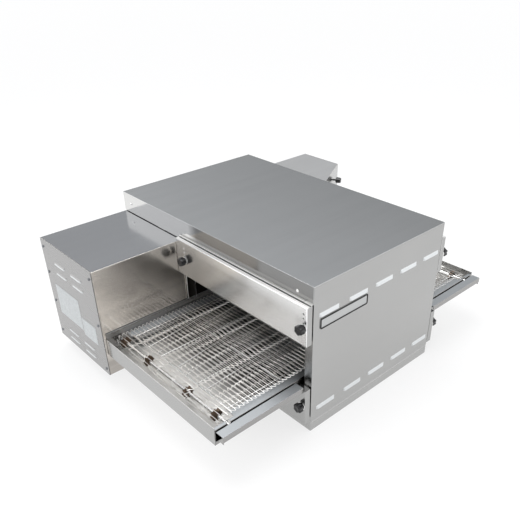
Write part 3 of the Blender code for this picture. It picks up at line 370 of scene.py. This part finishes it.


# Painted light and shade on the faces that look along one axis: lit and shaded copies of the
# sheet's own steel, brighter or duller than the rest of the sheet
FACING_PAINTED_LIGHT = {
    "conveyor_rail_front": ((2, "shelf"),),
    "conveyor_rail_back": ((2, "shelf"),),
    "inlet_crumb_tray": ((2, "pan"),),
    "outlet_crumb_tray": ((2, "pan"),),
    "inlet_upper_door": ((1, "panel"), (2, "ledge_painted_light")),
    "outlet_upper_door": ((1, "panel"), (2, "ledge_painted_light")),
    "inlet_end_frame": ((2, "ledge_painted_light"),),
    "outlet_end_frame": ((2, "ledge_painted_light"),),
    "front_panel": ((2, "ledge_painted_light"),),
    "inlet_box_cover": ((2, "ledge_painted_light"),),
    "outlet_box_cover": ((2, "ledge_painted_light"),),
    "inlet_box_shell": ((2, "box_top"),),
    "outlet_box_shell": ((2, "outlet_top"),),
    "top_cover": ((0, "flange"),),
}

# Sheets with louvres: (axis, the sheet's own face, heights down to which a hood stays dull; the
# strip of hood just below each is given a painted highlight)
LOUVRED = {
    "front_panel": (1, 0.4214, (0.3690, 0.0780)),
    "inlet_box_cover": (0, 0.5564, (0.0735, 0.1015, 0.2985, 0.3305)),
    "outlet_box_cover": (0, 0.5564, (0.0735, 0.1015, 0.2985, 0.3305)),
}

# Sheet-metal nodes whose folds are rounded
FOLDED = (
    "top_cover",
    "front_panel",
    "back_panel",
    "base_pan",
    "inlet_end_frame",
    "outlet_end_frame",
    "inlet_upper_door",
    "outlet_upper_door",
    "inlet_lower_panel",
    "outlet_lower_panel",
    "inlet_box_shell",
    "outlet_box_shell",
    "inlet_box_cover",
    "outlet_box_cover",
    "conveyor_rail_front",
    "conveyor_rail_back",
    "inlet_crumb_tray",
    "outlet_crumb_tray",
)

for end in ("drive", "idler"):
    for number in range(1, 5):
        NODE_LOOK[f"{end}_belt_sprocket_{number}"] = "sprocket"


def look_of(node):
    return NODE_LOOK.get(node) or SLOT_LOOK[SLOT_OF[node]]


# Pieces


def add_piece(name, bm, look, body, smooth=True, sharp=40):
    """Makes an object from bmesh, gives it its material and joins it to its CAD body.

    With sharp=None the edges keep the marks they have.
    """
    mesh = bpy.data.meshes.new(name)
    bm.normal_update()
    bm.to_mesh(mesh)
    bm.free()
    if smooth:
        for polygon in mesh.polygons:
            polygon.use_smooth = True
        if sharp is not None:
            mesh.set_sharp_from_angle(angle=math.radians(sharp))
    mesh.materials.append(MATERIALS[look])
    piece = bpy.data.objects.new(name, mesh)
    bpy.context.scene.collection.objects.link(piece)
    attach(piece, body)
    return piece


def across_face(face, edge):
    """How wide a face is, measured away from one of its edges."""
    line = (edge.verts[1].co - edge.verts[0].co).normalized()
    across = line.cross(face.normal)
    places = [vertex.co.dot(across) for vertex in face.verts]
    return max(places) - min(places)


def bent_edges(bm, shortest, longest, narrowest):
    """Sharp convex edges of a range of lengths, between faces that are wide enough."""
    found = []
    for edge in bm.edges:
        if len(edge.link_faces) != 2 or not edge.is_convex:
            continue
        if edge.calc_face_angle() < math.radians(35):
            continue
        if not shortest <= edge.calc_length() < longest:
            continue
        if min(across_face(face, edge) for face in edge.link_faces) > narrowest:
            found.append(edge)
    return found


def fold_sheet(node, fold=0.0026, segments=4):
    """A copy of a sheet-metal node with rounded folds and broken rims, shown in its place."""
    bm = bmesh.new()
    bm.from_mesh(NODES[node].data)
    bmesh.ops.remove_doubles(bm, verts=bm.verts, dist=1e-6)
    bmesh.ops.dissolve_limit(
        bm, angle_limit=math.radians(0.5), verts=bm.verts, edges=bm.edges
    )
    bm.normal_update()
    for edge in bm.edges:
        edge.smooth = len(edge.link_faces) == 2 and edge.calc_face_angle() < math.radians(8)
    folds = bent_edges(bm, 0.030, 9, 0.0035)
    rounding = {"affect": "EDGES", "profile": 0.5, "clamp_overlap": True}
    if folds:
        made = bmesh.ops.bevel(bm, geom=folds, offset=fold, segments=segments, **rounding)
        bm.normal_update()
        for face in made["faces"]:
            for edge in face.edges:
                if len(edge.link_faces) == 2:
                    edge.smooth = edge.calc_face_angle() < math.radians(40)
    rims = bent_edges(bm, 0.004, 9, 0.0009)
    if rims:
        bmesh.ops.bevel(bm, geom=rims, offset=0.0003, segments=1, **rounding)
    for cut in LOUVRED.get(node, (0, 0, ()))[2]:
        whole = bm.verts[:] + bm.edges[:] + bm.faces[:]
        bmesh.ops.bisect_plane(bm, geom=whole, plane_co=(0, 0, cut), plane_no=(0, 0, 1))
    piece = add_piece(
        f"{node}_sheet", bm, look_of(node), BODY_OF[node], sharp=None
    )
    weighted = piece.modifiers.new("weighted", "WEIGHTED_NORMAL")
    weighted.keep_sharp = True
    # Lit and shaded copies: faces looking along one axis get another tone, as painted light and
    # shade
    for axis, look in FACING_PAINTED_LIGHT.get(node, ()):
        piece.data.materials.append(MATERIALS[look])
        for polygon in piece.data.polygons:
            if abs(polygon.normal[axis]) > 0.9:
                polygon.material_index = len(piece.data.materials) - 1
    # The strip of each louvre hood below its cut gets a painted highlight
    if node in LOUVRED:
        axis, plane, cuts = LOUVRED[node]
        piece.data.materials.append(MATERIALS["hood"])
        for polygon in piece.data.polygons:
            lit = any(0 < cut - polygon.center.z < 0.008 for cut in cuts)
            if abs(polygon.center[axis]) > plane and lit:
                polygon.material_index = len(piece.data.materials) - 1
    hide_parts(node)
    return piece


def tube(bm, points, radius, sides=6, closed=False):
    """A tube along a line of points, with flat ends."""
    count = len(points)
    rings = []
    reference = None
    for i, point in enumerate(points):
        before = points[i - 1] if i or closed else point
        after = points[(i + 1) % count] if i < count - 1 or closed else point
        tangent = (after - before).normalized()
        if reference is None:
            reference = Vector((0, 0, 1))
            if abs(tangent.dot(reference)) > 0.9:
                reference = Vector((1, 0, 0))
        side = (reference - tangent * reference.dot(tangent)).normalized()
        other = tangent.cross(side)
        reference = side
        ring = []
        for step in range(sides):
            angle = 2 * math.pi * step / sides
            offset = side * math.cos(angle) + other * math.sin(angle)
            ring.append(bm.verts.new(point + offset * radius))
        rings.append(ring)
    pairs = list(zip(rings, rings[1:]))
    if closed:
        pairs.append((rings[-1], rings[0]))
    for low, high in pairs:
        for step in range(sides):
            after = (step + 1) % sides
            bm.faces.new((low[step], low[after], high[after], high[step]))
    if not closed:
        bm.faces.new(rings[0][::-1])
        bm.faces.new(rings[-1])


def lathe(bm, profile, centre, direction, segments=24, lobes=0):
    """Turns (distance along, radius) about a line; a radius of 0 makes a point.

    A third number in a row of the profile is the depth of the lobes there.
    """
    turn = Vector((0, 0, 1)).rotation_difference(Vector(direction)).to_matrix()
    centre = Vector(centre)
    rings = []
    for along, radius, *depth in profile:
        count = 1 if radius == 0 else segments
        ring = []
        for step in range(count):
            angle = 2 * math.pi * step / segments
            reach = radius
            if depth:
                reach *= 1 + depth[0] * math.cos(lobes * angle)
            point = Vector((reach * math.cos(angle), reach * math.sin(angle), along))
            ring.append(bm.verts.new(centre + turn @ point))
        rings.append(ring)
    for low, high in zip(rings, rings[1:]):
        for step in range(segments):
            after = (step + 1) % segments
            if len(low) == 1:
                bm.faces.new((low[0], high[after], high[step]))
            elif len(high) == 1:
                bm.faces.new((low[step], low[after], high[0]))
            else:
                bm.faces.new((low[step], low[after], high[after], high[step]))
    bmesh.ops.recalc_face_normals(bm, faces=bm.faces)


# Belt


def loop_length():
    return 4 * SHAFT_OUT + 2 * math.pi * LOOP_RADIUS


def on_loop(distance, lift):
    """The place on the belt's loop at a distance along it, lifted out of the loop."""
    straight, turn = 2 * SHAFT_OUT, math.pi * LOOP_RADIUS
    distance %= loop_length()
    radius = LOOP_RADIUS + lift
    if distance < straight:
        return -SHAFT_OUT + distance, SHAFT_HEIGHT + radius
    distance -= straight
    if distance < turn:
        angle = math.pi / 2 - distance / LOOP_RADIUS
        return SHAFT_OUT + radius * math.cos(angle), SHAFT_HEIGHT + radius * math.sin(angle)
    distance -= turn
    if distance < straight:
        return SHAFT_OUT - distance, SHAFT_HEIGHT - radius
    angle = -math.pi / 2 - (distance - straight) / LOOP_RADIUS
    return -SHAFT_OUT + radius * math.cos(angle), SHAFT_HEIGHT + radius * math.sin(angle)


def strand_path(pitch):
    """One strand as (offset along the loop, place across the belt, lift)."""
    reach = (pitch + JOG_EXTRA) / 2
    over, under = WIRE_RADIUS, -WIRE_RADIUS
    turn = 0.0012
    side = 1
    path = [
        (side * reach - 0.010, BELT_FRONT + 0.0095, under),
        (side * reach - 0.003, BELT_FRONT + 0.0012, under),
        (side * reach - 0.0012, BELT_FRONT, 0.0),
        (side * reach, BELT_FRONT + 0.0012, over),
    ]
    for row in Z_ROWS:
        path += [
            (side * reach, row + Z_HALF - 2 * turn, over),
            (side * reach, row + Z_HALF - turn, over),
            (side * (reach - 0.5 * turn), row + Z_HALF, 0.0),
            (side * (reach - 1.5 * turn), row + Z_HALF - 0.6 * turn, under),
            (-side * (reach - 1.5 * turn), row - Z_HALF + 0.6 * turn, under),
            (-side * (reach - 0.5 * turn), row - Z_HALF, 0.0),
            (-side * reach, row - Z_HALF + turn, over),
        ]
        side = -side
    path += [
        (side * reach, BELT_BACK - 0.0012, over),
        (side * reach - 0.0012, BELT_BACK, 0.0),
        (side * reach - 0.003, BELT_BACK - 0.0012, under),
        (side * reach - 0.010, BELT_BACK - 0.0095, under),
    ]
    return path


def build_belt():
    pitch = loop_length() / STRANDS
    path = strand_path(pitch)
    bm = bmesh.new()
    for strand in range(STRANDS):
        points = []
        for offset, across, lift in path:
            x, z = on_loop(strand * pitch + offset, lift)
            points.append(Vector((x, across, z)))
        tube(bm, points, WIRE_RADIUS, 6)
    belt = add_piece("belt_wires", bm, "wire", BODY_OF["conveyor_belt"])
    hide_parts("conveyor_belt")


def build_rack():
    """The welded rods that carry the belt: straight ones, and pairs that run at a slant."""
    bm = bmesh.new()

    def rod(start, end):
        tube(bm, [Vector(start), Vector(end)], RACK_RADIUS, 10)

    height = RACK_HEIGHT
    low = height - 2 * RACK_RADIUS + 0.0003
    for y in (0.073, -0.058, -0.220, -0.347):
        rod((-RACK_END, y, height), (RACK_END, y, height))
    slants = (
        (0.002, 0.11),
        (-0.038, 0.13),
        (-0.129, 0.11),
        (-0.172, 0.12),
        (-0.255, 0.06),
        (-0.303, 0.17),
    )
    for side in (-1, 1):
        for y, slope in slants:
            inner = 0.150
            rod(
                (side * RACK_END, y, height),
                (side * inner, y + slope * (RACK_END - inner), height),
            )
    for x in (-RACK_END, RACK_END):
        rod((x, -0.356, height), (x, 0.082, height))
    for x in (-0.307, -0.150, 0.0, 0.150, 0.307):
        rod((x, -0.3515, low), (x, 0.0855, low))
    rack = add_piece("belt_rack", bm, "bright", "oven_body")
    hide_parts("belt_support_grid")


# Fixings and small pieces


def pan_screw(name, centre, direction, body, radius, look):
    """A pan-head screw with a washer and a round dish in its head in place of a recess."""
    bm = bmesh.new()
    washer = ((0, 0), (0, radius * 1.35), (0.0006, radius * 1.35), (0.0006, 0))
    lathe(bm, washer, centre, direction, 20)
    head = bmesh.new()
    rise = 0.0006
    profile = ((rise, 0), (rise, radius), (rise + 0.0012, radius), (rise + 0.0021, radius * 0.8))
    profile += ((rise + 0.0026, radius * 0.45), (rise + 0.0018, radius * 0.3), (rise + 0.0018, 0))
    lathe(head, profile, centre, direction, 20)
    mesh = bpy.data.meshes.new("head")
    head.to_mesh(mesh)
    head.free()
    bm.from_mesh(mesh)
    bpy.data.meshes.remove(mesh)
    return add_piece(name, bm, look, body)


def build_screws():
    places = []
    for side, end in ((-1, "inlet"), (1, "outlet")):
        places.append((f"{end}_cover_screw_front", (side * 0.2628, -0.368, 0.4195), (side, 0, 0)))
        places.append((f"{end}_cover_screw_back", (side * 0.2628, 0.379, 0.4195), (side, 0, 0)))
    for number, z in enumerate((0.362, 0.277, 0.176, 0.065)):
        places.append((f"inlet_box_screw_back_{number}", (-BOX_FACE, 0.4065, z), (-1, 0, 0)))
        places.append((f"outlet_box_screw_back_{number}", (BOX_FACE, 0.4065, z), (1, 0, 0)))
    for number, z in enumerate((0.362, 0.213, 0.062)):
        places.append((f"inlet_box_screw_front_{number}", (-BOX_FACE, 0.128, z), (-1, 0, 0)))
        places.append((f"outlet_box_screw_front_{number}", (BOX_FACE, 0.255, z), (1, 0, 0)))
    for name, centre, direction in places:
        look = "bright" if "cover" in name else "cast"
        pan_screw(name, centre, direction, "oven_body", SCREW_RADIUS, look)


def build_thumb_knobs():
    """Six-lobed black knobs, each with a bright stud and washer behind it."""
    seat, stud = 0.2836, 0.0028
    washer = ((0.2556, 0), (0.2556, stud), (seat, stud), (seat, 0.0112), (seat + 0.0004, 0.0117))
    washer += ((seat + 0.0014, 0.0117), (seat + 0.0018, 0.0112), (seat + 0.0018, 0))
    knob = (
        (0.0018, 0),
        (0.0018, 0.0075),
        (0.0042, 0.0078),
        (0.0048, 0.0110, 0.09),
        (0.0060, 0.0125, 0.10),
        (0.0160, 0.0127, 0.10),
        (0.0180, 0.0121, 0.10),
        (0.0193, 0.0106, 0.08),
        (0.0199, 0.0086, 0.05),
        (0.0199, 0.0062),
        (0.0192, 0.0050),
        (0.0192, 0),
    )
    for side, end in ((-1, "inlet"), (1, "outlet")):
        for level, z in KNOB_HEIGHTS:
            for place, y in KNOB_PLACES:
                node = f"{end}_{level}_knob_{place}"
                bm = bmesh.new()
                lathe(bm, knob, (side * seat, y, z), (side, 0, 0), 60, 6)
                star = add_piece(f"{node}_star", bm, "black", BODY_OF[node])
                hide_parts(node)
                bm = bmesh.new()
                lathe(bm, washer, (0, y, z), (side, 0, 0))
                add_piece(f"{node}_stud", bm, "bright", BODY_OF[node])


def build_hole_rims():
    """The pressed rims of the spare adjusting holes in the end doors."""
    for side, end in ((-1, "inlet"), (1, "outlet")):
        bm = bmesh.new()
        for _, y in KNOB_PLACES:
            for z in SPARE_HOLES:
                rim = ((0.2829, 0.0026), (0.2829, 0.0042), (0.2834, 0.0038), (0.2835, 0.0032))
                rim += ((0.2829, 0.0026),)
                lathe(bm, rim, (0, y, z), (side, 0, 0), 16)
        bmesh.ops.remove_doubles(bm, verts=bm.verts, dist=1e-6)
        door = BODY_OF[f"{end}_upper_door"]
        add_piece(f"{end}_door_hole_rims", bm, "bright", door)


def build_guides():
    """The rod and the flat strip that stand beside the belt inside each opening."""
    for side, end in ((-1, "inlet"), (1, "outlet")):
        bm = bmesh.new()
        rod = [Vector((side * 0.2600, 0.1105, z)) for z in (0.1875, 0.288)]
        tube(bm, rod, 0.0018, 10)
        add_box(bm, (side * 0.2365, 0.1065, 0.23775), (0.0015, 0.012, 0.1015))
        add_piece(f"{end}_belt_guides", bm, "bright", "oven_body")
        bm = bmesh.new()
        add_box(bm, (side * 0.5435, -0.4005, 0.1469), (0.001, 0.024, 0.0226))
        add_piece(f"{end}_channel_cap", bm, "rail", "oven_body")
    # A dark strip of painted shade in the seam round the inlet box's end cover
    bm = bmesh.new()
    for y in (0.1146, 0.4174):
        add_box(bm, (-0.554, y, 0.216), (0.0009, 0.0008, 0.3410))
    for z in (0.0456, 0.3864):
        add_box(bm, (-0.554, 0.266, z), (0.0009, 0.3020, 0.0008))
    add_piece("inlet_box_seam_shade", bm, "dark", "oven_body")


def add_box(bm, centre, size):
    place = Matrix.Translation(centre) @ Matrix.Diagonal((*size, 1))
    bmesh.ops.create_cube(bm, size=1, matrix=place)


def build_labels():
    for name, y0, y1, z0, z1 in (
        ("data_label", 0.235, 0.379, 0.145, 0.247),
        ("notice_label", 0.151, 0.232, 0.132, 0.193),
    ):
        bm = bmesh.new()
        ring = [(y0, z0), (y1, z0), (y1, z1), (y0, z1)]
        low = [bm.verts.new((LABEL_FACE + LABEL_DEPTH, y, z)) for y, z in ring]
        high = [bm.verts.new((LABEL_FACE, y, z)) for y, z in ring]
        for i in range(4):
            j = (i + 1) % 4
            bm.faces.new((low[i], low[j], high[j], high[i]))
        bm.faces.new(low[::-1])
        bm.faces.new(high)
        bmesh.ops.recalc_face_normals(bm, faces=bm.faces)
        add_piece(name, bm, "label", "oven_body", smooth=False)


def rounded(half_width, half_height, radius, steps=6):
    points = []
    for quarter in range(4):
        across = half_width - radius if quarter in (0, 3) else radius - half_width
        up = half_height - radius if quarter in (0, 1) else radius - half_height
        for step in range(steps + 1):
            angle = math.pi / 2 * (quarter + step / steps)
            points.append((across + radius * math.cos(angle), up + radius * math.sin(angle)))
    return points


def build_plate_border():
    """The raised black border of the name plate, whose field is left blank."""
    low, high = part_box("name_plate")
    centre = (low + high) / 2
    face = low.y
    bm = bmesh.new()
    rings = []
    for inset, out in ((0.0, -0.0), (0.0, 0.0006), (0.0036, 0.0006), (0.0036, -0.0)):
        ring = []
        for a, b in rounded(0.0888 - inset, 0.0153 - inset, 0.005 - inset * 0.7):
            ring.append(bm.verts.new((centre.x + a, face - out, centre.z + b)))
        rings.append(ring)
    count = len(rings[0])
    for a, b in zip(rings, rings[1:] + rings[:1]):
        for i in range(count):
            j = (i + 1) % count
            bm.faces.new((a[i], a[j], b[j], b[i]))
    bmesh.ops.recalc_face_normals(bm, faces=bm.faces)
    add_piece("name_plate_border", bm, "ink", "oven_body")


# Stage


def build_camera():
    azimuth = math.radians(CAMERA_AZIMUTH)
    elevation = math.radians(CAMERA_ELEVATION)
    roll = math.radians(CAMERA_ROLL)
    back = Vector(
        (
            math.sin(azimuth) * math.cos(elevation),
            -math.cos(azimuth) * math.cos(elevation),
            math.sin(elevation),
        )
    )
    across = Vector((0, 0, 1)).cross(back).normalized()
    up = back.cross(across)
    right = across * math.cos(roll) + up * math.sin(roll)
    top = up * math.cos(roll) - across * math.sin(roll)
    data = bpy.data.cameras.new("camera")
    data.sensor_width = SENSOR
    data.lens = LENS
    data.shift_x = SHIFT_X
    data.shift_y = SHIFT_Y
    camera = bpy.data.objects.new("camera", data)
    turn = Matrix((right, top, back)).transposed().to_4x4()
    camera.matrix_world = Matrix.Translation(CAMERA_PLACE) @ turn
    bpy.context.scene.collection.objects.link(camera)
    bpy.context.scene.camera = camera


def build_floor():
    bm = bmesh.new()
    bmesh.ops.create_grid(bm, x_segments=1, y_segments=1, size=30)
    for vertex in bm.verts:
        vertex.co.z = -0.0004
    mesh = bpy.data.meshes.new("floor")
    bm.to_mesh(mesh)
    bm.free()
    material, _, shader = new_material("lit_table", (0.25, 0.25, 0.25), 0.8)
    shader.inputs["Emission Color"].default_value = (1, 1, 1, 1)
    shader.inputs["Emission Strength"].default_value = 0.72
    mesh.materials.append(material)
    floor = bpy.data.objects.new("floor", mesh)
    bpy.context.scene.collection.objects.link(floor)


def area_light(name, place, target, size, power):
    data = bpy.data.lights.new(name, "AREA")
    data.shape = "RECTANGLE"
    data.size, data.size_y = size
    data.energy = power
    light = bpy.data.objects.new(name, data)
    light.location = place
    aim = Vector(target) - Vector(place)
    light.rotation_mode = "QUATERNION"
    light.rotation_quaternion = aim.to_track_quat("-Z", "Y")
    bpy.context.scene.collection.objects.link(light)
    return light


def build_light():
    world = bpy.data.worlds.new("studio")
    world.use_nodes = True
    bpy.context.scene.world = world
    tree = world.node_tree
    background = tree.nodes["Background"]
    place = tree.nodes.new("ShaderNodeTexCoord")
    split = tree.nodes.new("ShaderNodeSeparateXYZ")
    tree.links.new(place.outputs["Generated"], split.inputs["Vector"])
    toward = tree.nodes.new("ShaderNodeVectorMath")
    toward.operation = "DOT_PRODUCT"
    toward.inputs[1].default_value = DIM_WALL
    tree.links.new(place.outputs["Generated"], toward.inputs[0])
    height = spread(tree, split.outputs["Z"], 0.0, 1.0, 0.0, 1.0)
    bright = ramp(tree, height, SKY)
    dim = ramp(tree, height, DIM_SKY)
    mix = tree.nodes.new("ShaderNodeMix")
    mix.data_type = "RGBA"
    wall = spread(tree, toward.outputs["Value"], 0, 1, DIM_EDGE, DIM_CORE)
    tree.links.new(wall, mix.inputs[0])
    tree.links.new(bright, mix.inputs[6])
    tree.links.new(dim, mix.inputs[7])
    tree.links.new(mix.outputs[2], background.inputs["Color"])
    background.inputs["Strength"].default_value = SKY_STRENGTH
    area_light("top", LAMP_PLACE, LAMP_TARGET, LAMP_SIZE, LAMP_POWER)


def main():
    bpy.context.scene.view_settings.view_transform = "Standard"
    build_camera()
    for name, node in NODES.items():
        node.data.materials.clear()
        node.data.materials.append(MATERIALS[look_of(name)])
    for node in FOLDED:
        fold_sheet(node)
    build_belt()
    build_rack()
    build_screws()
    build_thumb_knobs()
    build_hole_rims()
    build_guides()
    build_labels()
    build_plate_border()
    build_floor()
    build_light()


main()
